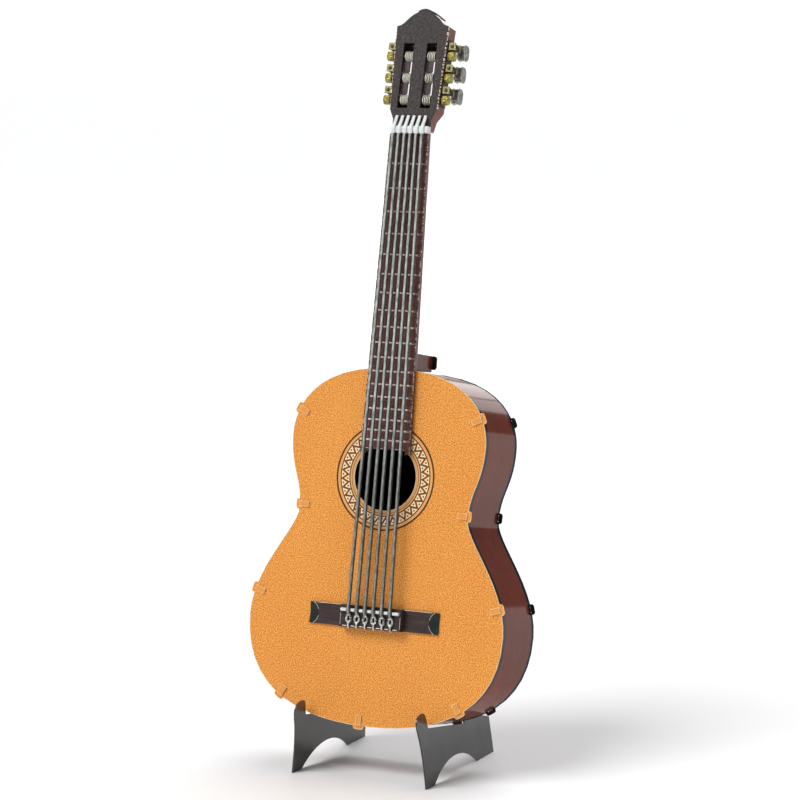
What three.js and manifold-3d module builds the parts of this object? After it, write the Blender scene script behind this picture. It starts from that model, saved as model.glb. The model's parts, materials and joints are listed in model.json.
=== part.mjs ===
// Classical guitar of folded sheet metal, one sixth of full size, leaning on its two-foot stand.
// Frame: +X to the viewer's right, +Y backwards, +Z up, in millimetres, standing on z = 0.
// The guitar leans back, so its pieces live in a leaning group whose local axes are
// x across, y from the soundboard towards the back, z along the strings.
import * as THREE from 'three';
import { mergeVertices } from 'three/addons/utils/BufferGeometryUtils.js';
import Module from 'manifold-3d';

const wasm = await Module();
wasm.setup();

// ---- Driving dimensions ----
const sheet = 0.3;                                  // metal thickness
const gap = 0.06;                                   // clearance between pieces that touch
const lean = THREE.MathUtils.degToRad(10.2);        // guitar leaning back on the stand
const seatHeight = 11.87;                           // soundboard's lowest point above ground

const bodyDepth = 18.3;                             // soundboard front to back plate rear
const bodyTop = 82.5;
const lowerBout = { half: 32.2, at: 23.2 };
const waist = { half: 21.35, at: 49 };
const upperBout = { half: 24.5, at: 66 };
const soundHole = { radius: 7.83, at: 57.4 };
const lugHeights = [5.2, 28.7, 49.5, 71.5];         // folded tabs up each side
const tailLugOffset = -1.5;                         // folded tab by the bottom centre
const rimInset = 0.1;

const scaleLength = 650 / 6;
const nutLine = 135.8;                              // zero of the fret rule
const fretCount = 18;
const nutHalf = 4.82;
const twelfthHalf = 5.82;                           // half width at the twelfth fret
const boardRise = 1.16;                             // fretboard face in front of the soundboard
const boardTop = 136.65;
const boardEnd = 63.8;
const neckDepth = 2.6;
const neckTop = 137;
const nut = { low: 136.75, high: 138.35, face: -1.87, left: -4.1, right: 4.95 };

const heel = { half: 3.6, low: 82.6, high: 86.4, back: 13.3 };

const bridge = { half: 16.4, low: 22.5, high: 27.4, rise: 0.62 };
const tieBlock = { half: 7.8, low: 22.4, high: 27.5, rise: 2.3 };
const saddle = { half: 7.3, low: 26.06, high: 26.74, rise: 2.92 };

const stringCount = 6;
const stringWidth = 0.9;
const stringThickness = 0.45;
const stringPitchNut = 1.47;
const stringPitchSaddle = 2.11;

const headTilt = THREE.MathUtils.degToRad(5.3);     // head tipping back from the neck
const headBase = { at: 137.3, depth: -0.6 };
const head = { footHalf: 4.85, lowHalf: 5.93, low: 5.2, highHalf: 6.55, high: 25, top: 28.75, depth: 4.4 };
const headSlot = { low: 5.5, high: 20.9, inner: 1.65, outer: 4.2 };

const rollerRadius = 1.15;
const rollerTop = 18.05;                            // first roller's height on the head
const rollerPitch = 5.18;
const rollerDepth = 1.4;                            // roller axis behind the head's face
const axleRadius = 0.4;
const wormRise = 2.3;                               // worm shaft's height above its roller
const wormOut = 1.35;                               // worm shaft's distance from the head's side
const wormRadius = 0.35;
const wormDrum = 0.95;
const sleeve = { radius: 0.58, start: 3.72 };       // stiffened shaft between bearing and button
const bearingPlay = 0.09;
const button = { start: 5.9, depth: 2.8, width: 1.8, height: 3.7 };

const splay = THREE.MathUtils.degToRad(6.14);       // feet leaning in towards their tops
const footSpread = 17.04;                           // half distance of the feet on the ground
const footSheet = 0.35;
const archRadius = 19.2;
const archCentre = { y: 12.35, z: -15.08 };
const restPlane = 18.85;                            // back rest's front face behind the soundboard
const restTop = 25;
const restFoot = -0.4;                              // lowest point of its legs
const restArch = 1.9;                               // its edge between the legs
const ledgeEnd = 10.05;                             // height of a foot's ledge at the guitar's back
const stepTop = 12.4;                               // a foot rises to this behind the guitar
const stepPlane = 19.15;                            // the rise's edge, behind the soundboard

// ---- Finishes ----
const finish = (color, roughness, metalness) =>
  new THREE.MeshStandardMaterial({ color, roughness, metalness });
const finishes = {
  soundboard: finish(0xe39a40, 0.42, 0.3),
  rim: finish(0x5f2a22, 0.3, 0.5),
  darkBrown: finish(0x3c2522, 0.4, 0.4),
  headFace: finish(0x45403e, 0.45, 0.5),
  steel: finish(0x8d908c, 0.35, 0.9),
  gold: finish(0xb8a23c, 0.3, 0.9),
  cream: finish(0xc9c29a, 0.4, 0.5),
  white: finish(0xe9eeee, 0.4, 0.1),
  stand: finish(0x4a4848, 0.25, 0.8),
};

// ---- Solid helpers ----
function toSolid(geometry) {
  const bare = geometry.clone();
  bare.deleteAttribute('normal');
  bare.deleteAttribute('uv');
  const merged = mergeVertices(bare, 1e-4);
  return new wasm.Manifold(new wasm.Mesh({
    numProp: 3,
    vertProperties: new Float32Array(merged.attributes.position.array),
    triVerts: new Uint32Array(merged.index.array),
  }));
}

function toGeometry(solid) {
  const mesh = solid.getMesh();
  const geometry = new THREE.BufferGeometry();
  geometry.setAttribute('position', new THREE.BufferAttribute(mesh.vertProperties, 3));
  geometry.setIndex(new THREE.BufferAttribute(mesh.triVerts, 1));
  geometry.computeVertexNormals();
  return geometry;
}

const weld = (...pieces) => toGeometry(pieces.map(toSolid).reduce((sum, next) => sum.add(next)));
const cut = (piece, ...tools) =>
  toGeometry(tools.map(toSolid).reduce((rest, tool) => rest.subtract(tool), toSolid(piece)));
const common = (piece, other) => toGeometry(toSolid(piece).intersect(toSolid(other)));

function box(x0, x1, y0, y1, z0, z1) {
  const geometry = new THREE.BoxGeometry(x1 - x0, y1 - y0, z1 - z0);
  return geometry.translate((x0 + x1) / 2, (y0 + y1) / 2, (z0 + z1) / 2);
}

// A shape drawn in the x-z plane, given a thickness backwards from its front face.
function frontPiece(shape, front, thickness, curveSegments = 6) {
  const settings = { depth: thickness, bevelEnabled: false, curveSegments };
  const geometry = new THREE.ExtrudeGeometry(shape, settings);
  return geometry.rotateX(Math.PI / 2).translate(0, front + thickness, 0);
}

// A shape drawn in the y-z plane, given a width centred on x = 0.
function sidePiece(shape, width, curveSegments = 8) {
  const geometry = new THREE.ExtrudeGeometry(shape, { depth: width, bevelEnabled: false, curveSegments });
  return geometry.applyMatrix4(new THREE.Matrix4().set(
    0, 0, 1, -width / 2,
    1, 0, 0, 0,
    0, 1, 0, 0,
    0, 0, 0, 1));
}

const polygon = (corners) => new THREE.Shape(corners.map(([x, y]) => new THREE.Vector2(x, y)));

// x moves with height: x' = x + slope z + offset.
const slideAcross = (slope, offset) => new THREE.Matrix4().set(
  1, 0, slope, offset,
  0, 1, 0, 0,
  0, 0, 1, 0,
  0, 0, 0, 1);

const mirrored = (corners) => corners.concat(corners.map(([x, z]) => [-x, z]).reverse());

function barAcross(radius, x0, x1, y, z, sides = 16) {
  const bar = new THREE.CylinderGeometry(radius, radius, Math.abs(x1 - x0), sides);
  return bar.rotateZ(Math.PI / 2).translate((x0 + x1) / 2, y, z);
}

function barBackwards(radius, y0, y1, x, z, sides = 16) {
  const bar = new THREE.CylinderGeometry(radius, radius, y1 - y0, sides);
  return bar.translate(x, (y0 + y1) / 2, z);
}

function addPiece(parent, name, geometry, material) {
  const mesh = new THREE.Mesh(geometry, material.clone());
  mesh.name = name;
  parent.add(mesh);
}

// ---- Body outline ----
// Four curves up the right half: bottom to lower bout, waist, upper bout and top.
function bodyHalf() {
  const half = new THREE.Path();
  half.moveTo(0, 0);
  half.bezierCurveTo(18.2, 0, lowerBout.half, 6.1, lowerBout.half, lowerBout.at);
  half.bezierCurveTo(lowerBout.half, 34.3, waist.half, 44.1, waist.half, waist.at);
  half.bezierCurveTo(waist.half, 55.95, upperBout.half, 57.55, upperBout.half, upperBout.at);
  half.bezierCurveTo(upperBout.half, 69.4, 23, bodyTop, 0, bodyTop);
  return half.getPoints(13);
}

const halfOutline = bodyHalf();

// The half outline moved outwards, or inwards when negative, and kept off the centre line.
function offsetHalf(distance, centreGap) {
  return halfOutline.map((point, i) => {
    const before = halfOutline[Math.max(i - 1, 0)];
    const after = halfOutline[Math.min(i + 1, halfOutline.length - 1)];
    const along = after.clone().sub(before).normalize();
    const x = point.x + along.y * distance;
    return [Math.max(x, centreGap), point.y - along.x * distance];
  });
}

// Local frame at a folded tab: x outwards, y backwards, z along the edge.
function lugFrame(reached, side) {
  const i = halfOutline.findIndex(reached);
  const [low, high] = [halfOutline[i - 1], halfOutline[i]];
  const along = high.clone().sub(low).normalize();
  const outwards = new THREE.Vector3(side * along.y, 0, -along.x);
  const backwards = new THREE.Vector3(0, 1, 0);
  const edge = outwards.clone().cross(backwards);
  const place = low.clone().add(high).multiplyScalar(0.5);
  return new THREE.Matrix4().makeBasis(outwards, backwards, edge).setPosition(side * place.x, 0, place.y);
}

const sideLugs = (side) => lugHeights.map((height) => lugFrame((point) => point.y > height, side));
const tailLug = lugFrame((point) => point.x > -tailLugOffset, Math.sign(tailLugOffset));
const lugsOf = { left: [tailLug, ...sideLugs(-1)], right: sideLugs(1) };
const allLugs = [...lugsOf.left, ...lugsOf.right];

// ---- Front and back plates ----
const lug = { reach: 0.85, half: 1.25, corner: 0.55 };
const finger = { half: 0.62, length: 2.3, outer: -rimInset, inner: -rimInset - sheet };
const fingerPlay = 0.1;

function lugShape() {
  const shape = new THREE.Shape();
  shape.moveTo(-0.7, -lug.half);
  shape.lineTo(lug.reach - lug.corner, -lug.half);
  shape.quadraticCurveTo(lug.reach, -lug.half, lug.reach, lug.corner - lug.half);
  shape.lineTo(lug.reach, lug.half - lug.corner);
  shape.quadraticCurveTo(lug.reach, lug.half, lug.reach - lug.corner, lug.half);
  shape.lineTo(-0.7, lug.half);
  return shape;
}

function bodyPlate(front, hole) {
  const outline = polygon(mirrored(offsetHalf(0, 0)).slice(0, -1));
  if (hole) outline.holes.push(new THREE.Path().absarc(0, hole.at, hole.radius, 0, 2 * Math.PI, true));
  const lugs = allLugs.map((frame) => frontPiece(lugShape(), front, sheet, 2).applyMatrix4(frame));
  const slots = allLugs.map((frame) => box(
    finger.inner - fingerPlay, finger.outer + fingerPlay,
    front - 1, front + 1,
    -finger.half - fingerPlay, finger.half + fingerPlay).applyMatrix4(frame));
  return cut(weld(frontPiece(outline, front, sheet, 32), ...lugs), ...slots);
}

// ---- Rims, with the tabs that fold over both plates ----
function rimFinger(frame, atFront) {
  const near = sheet + gap + 0.6;
  const stem = box(finger.inner, finger.outer, -gap - sheet, near, -finger.half, finger.half);
  const tip = finger.outer - finger.length;
  const fold = box(tip, finger.outer, -gap - sheet, -gap, -finger.half, finger.half);
  const bent = weld(stem, fold);
  if (!atFront) bent.rotateX(Math.PI).translate(0, bodyDepth, 0);
  return bent.applyMatrix4(frame);
}

function rim(side, lugs) {
  const wall = offsetHalf(-rimInset, gap / 2).concat(offsetHalf(-rimInset - sheet, gap / 2).reverse());
  const front = sheet + gap;
  const ordered = wall.map(([x, z]) => [side * x, z]);
  const strip = frontPiece(polygon(ordered), front, bodyDepth - 2 * front);
  const fingers = lugs.flatMap((frame) => [rimFinger(frame, true), rimFinger(frame, false)]);
  return weld(strip, ...fingers);
}

// ---- Neck ----
const boardHalf = (height) => nutHalf + (nutLine - height) * (twelfthHalf - nutHalf) * 2 / scaleLength;
const fretAt = (number) => nutLine - scaleLength * (1 - 2 ** (-number / 12));

function taperWithBoard(geometry, drawnHalf) {
  const place = geometry.attributes.position;
  for (let i = 0; i < place.count; i += 1) {
    place.setX(i, place.getX(i) * boardHalf(place.getZ(i)) / drawnHalf);
  }
  return geometry;
}

function fretboard() {
  const boardOutline = (inset, end) => polygon(mirrored([
    [boardHalf(end - 1) - inset, end - 1 + inset],
    [boardHalf(boardTop) - inset, boardTop],
  ]));
  const tray = frontPiece(boardOutline(0, boardEnd), -boardRise, boardRise - gap);
  const hollow = frontPiece(boardOutline(sheet, boardEnd), sheet - boardRise, boardRise);
  const endHalf = boardHalf(boardEnd) - 1.2;
  const endCut = box(-endHalf, endHalf, -2, 1, boardEnd - 2, boardEnd);
  const frets = Array.from({ length: fretCount }, (_, i) => {
    const height = fretAt(i + 1);
    const half = boardHalf(height) - 0.1;
    return box(-half, half, -boardRise - 0.12, -boardRise + 0.1, height - 0.13, height + 0.13);
  });
  return weld(cut(tray, hollow, endCut), ...frets);
}

function neckSection(half, depth) {
  const shape = new THREE.Shape();
  shape.moveTo(half, 0);
  shape.absellipse(0, 0, half, depth, 0, Math.PI, false);
  return shape;
}

function neckBlank(half, depth, low, high) {
  const settings = { depth: high - low, bevelEnabled: false, curveSegments: 16 };
  const straight = new THREE.ExtrudeGeometry(neckSection(half, depth), settings);
  return taperWithBoard(straight.translate(0, 0, low), nutHalf);
}

function neckShell() {
  const outer = neckBlank(nutHalf, neckDepth, heel.low, neckTop);
  const inner = neckBlank(nutHalf - sheet, neckDepth - sheet, heel.low - 1, neckTop + 1);
  const opening = box(-nutHalf, nutHalf, -1, gap, heel.low - 1, neckTop + 1);
  return cut(outer, inner, opening);
}

function heelBlock() {
  const outer = box(-heel.half, heel.half, 0.4, heel.back, heel.low, heel.high);
  const inside = heel.half - sheet;
  const inner = box(-inside, inside, 0, heel.back - sheet, heel.low - 1, heel.high - sheet);
  const neckRoom = neckBlank(nutHalf + 0.1, neckDepth + 0.1, heel.low - 1, heel.high + 1);
  return cut(outer, inner, neckRoom.translate(0, -0.02, 0));
}

function heelCap() {
  const middle = (heel.low + heel.high) / 2;
  const front = heel.back + gap;
  const plate = box(-heel.half, heel.half, front, front + sheet, heel.low, heel.high);
  const ears = [-1, 1].map((side) => {
    const ear = new THREE.Shape().absellipse(side * heel.half, middle, 1.1, 1.75, 0, 2 * Math.PI, false);
    return frontPiece(ear, front, sheet, 12);
  });
  return weld(plate, ...ears);
}

// ---- Strings ----
// Side view of one string: tail on the tie block, over saddle and nut, down into the head.
const stringSpine = [
  [-2.6, 22.8], [-2.62, 25.1], [-3.24, 25.9], [-3.24, 26.9], [-2.15, 137.5], [-2.12, 138.4], [-0.68, 140.8],
];

function ribbon(spine, thickness) {
  const points = spine.map(([y, z]) => new THREE.Vector2(y, z));
  const edge = (side) => points.map((point, i) => {
    const before = points[Math.max(i - 1, 0)];
    const after = points[Math.min(i + 1, points.length - 1)];
    const step = after.clone().sub(before).setLength(side * thickness / 2);
    return new THREE.Vector2(point.x + step.y, point.y - step.x);
  });
  return new THREE.Shape([...edge(1), ...edge(-1).reverse()]);
}

function guitarString(index) {
  const steps = index - (stringCount - 1) / 2;
  const slope = steps * (stringPitchNut - stringPitchSaddle) / (nut.low - saddle.high);
  return sidePiece(ribbon(stringSpine, stringThickness), stringWidth)
    .applyMatrix4(slideAcross(slope, steps * stringPitchSaddle - slope * saddle.high));
}

// ---- Bridge ----
function tieBlockPiece() {
  const { half, low, high, rise } = tieBlock;
  const block = box(-half, half, -rise, -bridge.rise - gap, low, high);
  const seat = box(-saddle.half - gap, saddle.half + gap, -3, 0, saddle.low - gap, saddle.high + gap);
  return cut(block, seat);
}

// ---- Head ----
function headOutline(inset, foot) {
  const shape = new THREE.Shape();
  const s = inset;
  shape.moveTo(head.footHalf - s, foot);
  shape.lineTo(head.footHalf - s, 2.85);
  shape.lineTo(head.lowHalf - s, head.low);
  shape.lineTo(head.highHalf - s, head.high - s);
  shape.quadraticCurveTo(5.3 - s, head.high + 0.1 - s, 4.2 - s, 26.4 - s);
  shape.quadraticCurveTo(2.7, 27.9 - s, 1.7, 28.2 - s);
  shape.quadraticCurveTo(0, 2 * head.top - 28.2 - s, -1.7, 28.2 - s);
  shape.quadraticCurveTo(-2.7, 27.9 - s, s - 4.2, 26.4 - s);
  shape.quadraticCurveTo(s - 5.3, head.high + 0.1 - s, s - head.highHalf, head.high - s);
  shape.lineTo(s - head.lowHalf, head.low);
  shape.lineTo(s - head.footHalf, 2.85);
  shape.lineTo(s - head.footHalf, foot);
  return shape;
}

const headHalf = (height) =>
  head.lowHalf + (height - head.low) * (head.highHalf - head.lowHalf) / (head.high - head.low);

function slotTool(side, margin, y0, y1) {
  const [x0, x1] = [side * headSlot.inner, side * headSlot.outer].sort((a, b) => a - b);
  return box(x0 - margin, x1 + margin, y0, y1, headSlot.low - margin, headSlot.high + margin);
}

const rollerHeights = [0, 1, 2].map((row) => rollerTop - row * rollerPitch);

function headFace() {
  return cut(frontPiece(headOutline(0, 1.3), 0, sheet), slotTool(-1, 0, -1, 1), slotTool(1, 0, -1, 1));
}

function headShell() {
  const front = sheet + gap;
  const sideView = (inset) => polygon([
    [front - 2 * inset, 0.2 + inset], [2.35 - inset, 0.2 + inset], [head.depth - inset, 5 + inset / 2],
    [head.depth - inset, 30], [front - 2 * inset, 30],
  ]);
  const outer = common(frontPiece(headOutline(0.05, 0.2), 0, 6), sidePiece(sideView(0), 20));
  const inner = common(frontPiece(headOutline(0.05 + sheet, 0.2), -2, 9), sidePiece(sideView(sheet), 20));
  const slotWalls = [-1, 1].map((side) => slotTool(side, sheet, -3, 8));
  const slots = [-1, 1].map((side) => slotTool(side, 0, -3, 8));
  const axleHoles = rollerHeights.map((z) => barAcross(axleRadius + bearingPlay, -8, 8, rollerDepth, z));
  const middle = box(-headSlot.inner + 0.1, headSlot.inner - 0.1, 0, head.depth, 4, 22);
  const holes = cut(weld(...axleHoles), middle);
  return cut(outer, cut(inner, ...slotWalls), ...slots, holes);
}

function headCap() {
  const strip = new THREE.Shape();
  strip.moveTo(-1.6, 28.35);
  strip.quadraticCurveTo(0, 29.4, 1.7, 28.3);
  strip.quadraticCurveTo(2.9, 27.95, 4.2, 26.75);
  strip.lineTo(4.4, 26.95);
  strip.quadraticCurveTo(3, 28.3, 1.8, 28.6);
  strip.quadraticCurveTo(0, 29.75, -1.7, 28.62);
  return frontPiece(strip, 0.3, 2.6);
}

// ---- Tuners ----
function tunerPlate(side) {
  const taper = (head.highHalf - head.lowHalf) / (head.high - head.low);
  const inner = headHalf(0) + gap;
  const wall = box(inner, inner + sheet, 0.5, 3.7, 6.3, 22);
  wall.applyMatrix4(slideAcross(taper, 0));
  const ears = rollerHeights.flatMap((z) => {
    const from = headHalf(z) + 0.2;
    const reach = headHalf(z) + 2.2;
    const [low, high] = [z + wormRise - 0.8, z + wormRise + 0.85];
    return [box(from, reach, 0.8, 1.1, low, high), box(from, reach, 3.3, 3.6, low, high)];
  });
  const holes = rollerHeights.flatMap((z) => [
    barBackwards(wormRadius + bearingPlay, 0, 5, headHalf(z) + wormOut, z + wormRise),
    barAcross(axleRadius + bearingPlay, headHalf(z) - 1, headHalf(z) + 1, rollerDepth, z),
  ]);
  const plate = cut(weld(wall, ...ears), ...holes);
  return side > 0 ? plate : toGeometry(toSolid(plate).mirror([1, 0, 0]));
}

function roller(side, z) {
  const drum = barAcross(rollerRadius, side * 1.85, side * 3.95, rollerDepth, z);
  const axle = barAcross(axleRadius, side * 3.8, side * (headHalf(z) + 0.5), rollerDepth, z);
  return weld(drum, axle);
}

const tunerGear = (side, z) =>
  barAcross(rollerRadius, side * (headHalf(z) + 0.56), side * (headHalf(z) + 2.15), rollerDepth, z, 20);

function wormShaft(side, z) {
  const x = side * (headHalf(z) + wormOut);
  const shaft = barBackwards(wormRadius, 0.5, button.start - gap, x, z + wormRise);
  const worm = barBackwards(wormDrum, 1.25, 2.6, x, z + wormRise);
  const stiffener = barBackwards(sleeve.radius, sleeve.start, button.start - gap, x, z + wormRise);
  return weld(shaft, worm, stiffener);
}

function tunerButton(side, z) {
  const x = side * (headHalf(z) + wormOut);
  const [half, corner] = [button.height / 2, 0.6];
  const profile = new THREE.Shape();
  profile.moveTo(button.start, -half * 0.6);
  profile.lineTo(button.start + corner, -half);
  profile.lineTo(button.start + button.depth - corner, -half);
  profile.lineTo(button.start + button.depth, corner - half);
  profile.lineTo(button.start + button.depth, half - corner);
  profile.lineTo(button.start + button.depth - corner, half);
  profile.lineTo(button.start + corner, half);
  profile.lineTo(button.start, half * 0.6);
  return sidePiece(profile, button.width).translate(x, 0, z + wormRise);
}

// ---- Stand ----
// Side view of a foot: toe, arch, heel, a rise behind the guitar, the ledge under it and the finger
// in front of the soundboard.
function footProfile() {
  const riseAt = (height) => stepPlane / Math.cos(lean) + (height - seatHeight) * Math.tan(lean);
  const archStart = Math.atan2(-archCentre.z, -Math.sqrt(archRadius ** 2 - archCentre.z ** 2));
  const shape = new THREE.Shape();
  shape.moveTo(-4.1, 0);
  shape.absarc(archCentre.y, archCentre.z, archRadius, archStart, Math.PI - archStart, true);
  shape.lineTo(33.8, 0);
  shape.lineTo(33, 8.7);
  shape.lineTo(riseAt(stepTop), stepTop);
  shape.lineTo(riseAt(ledgeEnd), ledgeEnd);
  shape.lineTo(-0.2, 13.15);
  shape.lineTo(-0.55, 14.6);
  shape.quadraticCurveTo(-0.95, 17, -2.4, 17.05);
  shape.quadraticCurveTo(-5.9, 17.1, -5.9, 14.8);
  shape.quadraticCurveTo(-5.7, 13.4, -5.1, 11.8);
  shape.quadraticCurveTo(-3.9, 7, -4.1, 0);
  return shape;
}

const leaning = () => {
  const group = new THREE.Group();
  group.position.z = seatHeight;
  group.rotation.x = -lean;
  return group;
};

const standFoot = (side) => sidePiece(footProfile(), footSheet)
  .applyMatrix4(slideAcross(-side * Math.tan(splay), side * footSpread));

// A sheet behind the guitar; the inner edge of each leg curves up to a clear span between the feet.
function backRest() {
  const heightOf = (along) => seatHeight + along * Math.cos(lean) - restPlane * Math.sin(lean);
  const insideFoot = (along) => footSpread - footSheet / 2 - heightOf(along) * Math.tan(splay) - 0.15;
  const [foot, hip] = [insideFoot(restFoot), insideFoot(1.2)];
  const shape = new THREE.Shape();
  shape.moveTo(foot, restFoot);
  shape.lineTo(hip, 1.2);
  shape.bezierCurveTo(15.5, 8, 11, 12, 10, 18);
  shape.bezierCurveTo(9, restTop, 4, restTop, 0, restTop);
  shape.bezierCurveTo(-4, restTop, -9, restTop, -10, 18);
  shape.bezierCurveTo(-11, 12, -15.5, 8, -hip, 1.2);
  shape.lineTo(-foot, restFoot);
  shape.lineTo(1.6 - foot, restFoot);
  shape.quadraticCurveTo(1.9 - foot, restArch, 5.5 - foot, restArch);
  shape.lineTo(foot - 5.5, restArch);
  shape.quadraticCurveTo(foot - 1.9, restArch, foot - 1.6, restFoot);
  return frontPiece(shape, restPlane, sheet, 8);
}

// ---- Assembly ----
const assembly = new THREE.Group();
const guitar = leaning();
const headGroup = new THREE.Group();
headGroup.position.set(0, headBase.depth, headBase.at);
headGroup.rotation.x = -headTilt;
guitar.add(headGroup);
const rest = leaning();
assembly.add(guitar, rest);

addPiece(assembly, 'stand_foot_left', standFoot(-1), finishes.stand);
addPiece(assembly, 'stand_foot_right', standFoot(1), finishes.stand);
addPiece(rest, 'stand_back_rest', backRest(), finishes.stand);

addPiece(guitar, 'soundboard', bodyPlate(0, soundHole), finishes.soundboard);
addPiece(guitar, 'back_plate', bodyPlate(bodyDepth - sheet), finishes.rim);
addPiece(guitar, 'rim_left', rim(-1, lugsOf.left), finishes.rim);
addPiece(guitar, 'rim_right', rim(1, lugsOf.right), finishes.rim);
addPiece(guitar, 'fretboard', fretboard(), finishes.darkBrown);
addPiece(guitar, 'neck_shell', neckShell(), finishes.rim);
addPiece(guitar, 'neck_heel', heelBlock(), finishes.rim);
addPiece(guitar, 'heel_cap', heelCap(), finishes.darkBrown);
addPiece(guitar, 'nut', box(nut.left, nut.right, nut.face, -0.35, nut.low, nut.high), finishes.white);
addPiece(guitar, 'bridge_base', box(-bridge.half, bridge.half, -bridge.rise, -gap, bridge.low, bridge.high),
  finishes.darkBrown);
addPiece(guitar, 'tie_block', tieBlockPiece(), finishes.darkBrown);
addPiece(guitar, 'saddle',
  box(-saddle.half, saddle.half, -saddle.rise, -bridge.rise - gap, saddle.low, saddle.high), finishes.white);
for (let index = 0; index < stringCount; index += 1) {
  addPiece(guitar, `string_${index + 1}`, guitarString(index), finishes.steel);
}

addPiece(headGroup, 'head_face', headFace(), finishes.headFace);
addPiece(headGroup, 'head_shell', headShell(), finishes.rim);
addPiece(headGroup, 'head_cap', headCap(), finishes.headFace);
for (const [name, side] of [['left', -1], ['right', 1]]) {
  addPiece(headGroup, `tuner_plate_${name}`, tunerPlate(side), finishes.gold);
  rollerHeights.forEach((z, row) => {
    const place = `${name}_${row + 1}`;
    addPiece(headGroup, `string_roller_${place}`, roller(side, z), finishes.cream);
    addPiece(headGroup, `tuner_gear_${place}`, tunerGear(side, z), finishes.gold);
    addPiece(headGroup, `worm_shaft_${place}`, wormShaft(side, z), finishes.darkBrown);
    addPiece(headGroup, `tuner_button_${place}`, tunerButton(side, z), finishes.steel);
  });
}

// The origin is the middle of the whole object's footprint, on the ground.
const bounds = new THREE.Box3().setFromObject(assembly, true);
const middle = bounds.getCenter(new THREE.Vector3());
assembly.position.set(-middle.x, -middle.y, -bounds.min.z);

const group = new THREE.Group();
group.add(assembly);
export default group;
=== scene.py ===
"""Looks of the sheet-metal guitar on its stand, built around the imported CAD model."""
import json
import math
import random

import bmesh
import bpy
from mathutils import Matrix, Vector


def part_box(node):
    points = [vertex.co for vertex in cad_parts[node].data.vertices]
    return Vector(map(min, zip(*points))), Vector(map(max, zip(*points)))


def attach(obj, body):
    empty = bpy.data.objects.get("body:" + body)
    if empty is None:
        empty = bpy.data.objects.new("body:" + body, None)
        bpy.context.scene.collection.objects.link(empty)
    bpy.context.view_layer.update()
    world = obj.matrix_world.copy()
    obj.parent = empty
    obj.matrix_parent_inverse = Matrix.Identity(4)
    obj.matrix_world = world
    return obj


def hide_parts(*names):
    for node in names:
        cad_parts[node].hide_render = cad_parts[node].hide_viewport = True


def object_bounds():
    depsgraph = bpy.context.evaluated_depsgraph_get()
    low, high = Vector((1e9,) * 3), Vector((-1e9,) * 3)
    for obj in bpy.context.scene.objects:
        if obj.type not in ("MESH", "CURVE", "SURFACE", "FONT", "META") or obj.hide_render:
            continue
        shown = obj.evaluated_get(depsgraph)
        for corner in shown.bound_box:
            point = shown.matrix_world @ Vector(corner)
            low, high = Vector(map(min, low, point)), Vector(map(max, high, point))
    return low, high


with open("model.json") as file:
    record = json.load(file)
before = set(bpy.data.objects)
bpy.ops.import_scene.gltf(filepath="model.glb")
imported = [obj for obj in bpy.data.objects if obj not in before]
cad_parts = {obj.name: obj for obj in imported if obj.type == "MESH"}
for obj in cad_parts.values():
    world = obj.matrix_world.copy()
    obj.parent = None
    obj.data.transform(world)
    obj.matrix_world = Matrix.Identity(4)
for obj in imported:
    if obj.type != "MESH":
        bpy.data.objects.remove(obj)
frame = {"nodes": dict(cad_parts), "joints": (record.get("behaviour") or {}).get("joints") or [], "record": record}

cad_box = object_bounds()
nodes = frame["nodes"]
joints = {joint["name"]: joint for joint in frame["joints"]}
bodies = frame["record"]["behaviour"]["bodies"]
body_of = {node: body for body, members in bodies.items() for node in members}
slot_of = {part["node"]: part["material_slot"] for part in frame["record"]["subparts"]}

# ---- Driving dimensions, in millimetres ----
MM = 0.001
SHEET = 0.3                      # thickness of the folded metal sheet
GAP = 0.06                       # clearance between touching pieces
BODY_DEPTH = 18.3
HOLE_AT = 57.4                   # sound hole's centre, up the guitar
HOLE_RADIUS = 7.83
BRIDGE = {"half": 16.4, "low": 22.5, "high": 27.4, "rise": 0.62}
BRIDGE_MIDDLE = (BRIDGE["low"] + BRIDGE["high"]) / 2
CREASE_RADIUS = 2.85             # the bridge's ends fold down along an arc of this radius
CREASE_OUT = 0.5                 # the arc's centre, beyond the bridge's end
TIE = {"half": 7.8, "low": 22.4, "high": 27.5, "rise": 2.3}
SADDLE = {"half": 7.3, "low": 26.06, "high": 26.74, "rise": 2.92}
NUT = {"left": -4.1, "right": 4.95, "low": 136.75, "high": 138.35, "face": -1.87}
NUT_LINE = 135.8
SCALE_LENGTH = 650 / 6
BOARD_RISE = 1.16
BOARD_END = 63.8
BOARD_HALF = {"nut": 4.82, "octave": 5.82}
FRETS = 18
STRINGS = 6
PITCH_AT_NUT = 1.47
PITCH_AT_SADDLE = 2.11
HEEL = {"half": 3.6, "low": 82.6, "high": 86.4, "back": 13.3}
HEAD_BASE = (0, -0.6, 137.3)     # where the head's own frame starts on the neck
HEAD_LOW = 5.2                   # the head widens evenly from here up
HEAD_LOW_HALF = 5.93
HEAD_TAPER = 0.62 / 19.8
SLOT = (1.7, 4.15)               # inner and outer edge of each slot in the head
SLOT_LOW = 5.55
SLOT_HIGH = 20.85
ROLLER_DEPTH = 1.4
ROLLER_HEIGHTS = (18.05, 12.87, 7.69)
WORM_RISE = 2.3
WORM_OUT = 1.35                  # worm's axis beyond the head's side
ROLLER_RADIUS = 1.15
ROLLER_START = 1.85
GROOVE_PITCH = 0.42
GROOVES = 5
BUTTON = {"start": 5.9, "depth": 2.8, "height": 3.7, "width": 1.8}
WELD = 0.002                     # corners nearer than this are one
SHARP_TURN = 0.7                 # radians between the faces at an edge that counts as cut

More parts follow.
